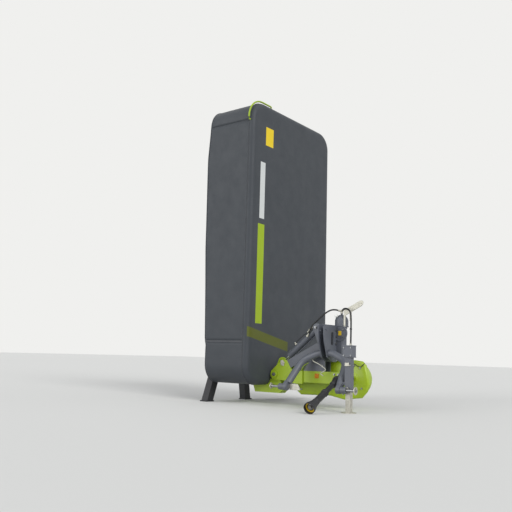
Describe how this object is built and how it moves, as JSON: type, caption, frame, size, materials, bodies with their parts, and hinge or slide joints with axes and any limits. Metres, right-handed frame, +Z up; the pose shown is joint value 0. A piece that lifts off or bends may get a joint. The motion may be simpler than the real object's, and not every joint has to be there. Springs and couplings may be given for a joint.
{
  "type": "folded side-mounted disc mower",
  "caption": "Side-mounted disc mower folded upright beside its hitch frame, with covered cutter bar, lift cylinder, belt drive and parking stands.",
  "frame": {"origin": "middle of the machine's bounding box on the ground it stands on", "axes": "+X forwards towards the tractor, +Y to the tractor's left, +Z up"},
  "size_m": [2.0075, 2.0304, 3.5545],
  "materials": {
    "frame_paint": "satin",
    "lime_paint": "satin",
    "guard_paint": "satin",
    "zinc": "satin",
    "pin_steel": "satin",
    "disc_steel": "satin",
    "dark_paint": "satin",
    "cover_cloth": "matte",
    "guard_plastic": "matte",
    "reflector_amber": "gloss"
  },
  "bodies": {
    "headstock": {"mast_cheeks": "frame_paint", "a_frame": "frame_paint", "lower_lugs": "frame_paint", "link_pins": "pin_steel", "swivel_pin": "frame_paint", "jack_sleeve": "frame_paint", "hose_carrier": "zinc"},
    "jack": {"jack_leg": "zinc"},
    "carrier": {"main_beam": "lime_paint", "fork_plates": "lime_paint", "mast_plates": "frame_paint", "swing_strut": "frame_paint", "swivel_sleeve": "frame_paint", "belt_guard": "guard_paint", "input_stub": "dark_paint", "reflector": "reflector_amber"},
    "lift_barrel": {"lift_barrel": "zinc"},
    "lift_rod": {"lift_rod": "pin_steel"},
    "mower": {"hinge_arm": "lime_paint", "crank_plates": "lime_paint", "frame_beam": "lime_paint", "end_plates": "lime_paint", "bar_housing": "dark_paint", "bar_skids": "pin_steel", "gearbox": "lime_paint", "rails": "dark_paint", "cross_rails": "dark_paint", "cover_top": "cover_cloth", "skirt_front": "cover_cloth", "skirt_rear": "cover_cloth", "skirt_outer": "cover_cloth", "skirt_inner": "cover_cloth", "cover_handle": "lime_paint", "leg_bracket": "dark_paint"},
    "disc_1": {"disc_1": "disc_steel"},
    "disc_2": {"disc_2": "disc_steel"},
    "disc_3": {"disc_3": "disc_steel"},
    "disc_4": {"disc_4": "disc_steel"},
    "disc_5": {"disc_5": "disc_steel"},
    "disc_6": {"disc_6": "disc_steel"},
    "disc_7": {"disc_7": "disc_steel"},
    "leg_front": {"leg_front": "dark_paint"},
    "leg_rear": {"leg_rear": "dark_paint"},
    "pto_rear": {"pto_joint": "guard_plastic"},
    "pto_front": {"pto_front": "guard_plastic"}
  },
  "joints": [
    {"name": "fold", "type": "hinge", "parent": "carrier", "child": "mower", "pos_m": [0.16325, -0.22025, 0.34], "axis": [1, 0, 0], "range_deg": [0, 90]},
    {"name": "swing_back", "type": "hinge", "parent": "headstock", "child": "carrier", "pos_m": [0.06325, 0.54475, 0.6], "axis": [0, 0, -1], "range_deg": [0, 14]},
    {"name": "barrel_pivot", "type": "hinge", "parent": "carrier", "child": "lift_barrel", "pos_m": [0.16325, 0.31475, 0.872], "axis": [1, 0, 0], "range_deg": [-5.09, 0]},
    {"name": "rod_slide", "type": "slide", "parent": "lift_barrel", "child": "lift_rod", "axis": [0, -0.772, -0.6356], "range_m": [0, 0.21717]},
    {"name": "jack_slide", "type": "slide", "parent": "headstock", "child": "jack", "axis": [0, 0, 1], "range_m": [0, 0.17]},
    {"name": "leg_front_swing", "type": "hinge", "parent": "mower", "child": "leg_front", "pos_m": [0.42825, -0.96525, 0.328], "axis": [0, -1, 0], "range_deg": [0, 160]},
    {"name": "leg_rear_swing", "type": "hinge", "parent": "mower", "child": "leg_rear", "pos_m": [-0.11175, -0.96525, 0.328], "axis": [0, 1, 0], "range_deg": [0, 110]},
    {"name": "pto_tilt", "type": "hinge", "parent": "carrier", "child": "pto_rear", "pos_m": [0.34825, 0.68475, 0.328], "axis": [0.0698, -0.9976, 0], "range_deg": [0, 40]},
    {"name": "pto_slide", "type": "slide", "parent": "pto_rear", "child": "pto_front", "axis": [0.9156, 0.064, -0.3969], "range_m": [0, 0.12]},
    {"name": "disc_1_spin", "type": "hinge", "parent": "mower", "child": "disc_1", "pos_m": [0.09325, -0.93925, 0.625], "axis": [0, 1, 0], "continuous": true},
    {"name": "disc_2_spin", "type": "hinge", "parent": "mower", "child": "disc_2", "pos_m": [0.09325, -0.93925, 1.055], "axis": [0, 1, 0], "continuous": true},
    {"name": "disc_3_spin", "type": "hinge", "parent": "mower", "child": "disc_3", "pos_m": [0.09325, -0.93925, 1.485], "axis": [0, 1, 0], "continuous": true},
    {"name": "disc_4_spin", "type": "hinge", "parent": "mower", "child": "disc_4", "pos_m": [0.09325, -0.93925, 1.915], "axis": [0, 1, 0], "continuous": true},
    {"name": "disc_5_spin", "type": "hinge", "parent": "mower", "child": "disc_5", "pos_m": [0.09325, -0.93925, 2.345], "axis": [0, 1, 0], "continuous": true},
    {"name": "disc_6_spin", "type": "hinge", "parent": "mower", "child": "disc_6", "pos_m": [0.09325, -0.93925, 2.775], "axis": [0, 1, 0], "continuous": true},
    {"name": "disc_7_spin", "type": "hinge", "parent": "mower", "child": "disc_7", "pos_m": [0.09325, -0.93925, 3.205], "axis": [0, 1, 0], "continuous": true}
  ],
  "couplings": [
    {"joint": "rod_slide", "follows": "fold", "m_per_rad": 0.13757},
    {"joint": "barrel_pivot", "follows": "fold", "ratio": -0.055425},
    {"joint": "disc_2_spin", "follows": "disc_1_spin", "ratio": -1},
    {"joint": "disc_3_spin", "follows": "disc_1_spin", "ratio": 1},
    {"joint": "disc_4_spin", "follows": "disc_1_spin", "ratio": -1},
    {"joint": "disc_5_spin", "follows": "disc_1_spin", "ratio": 1},
    {"joint": "disc_6_spin", "follows": "disc_1_spin", "ratio": -1},
    {"joint": "disc_7_spin", "follows": "disc_1_spin", "ratio": 1}
  ]
}
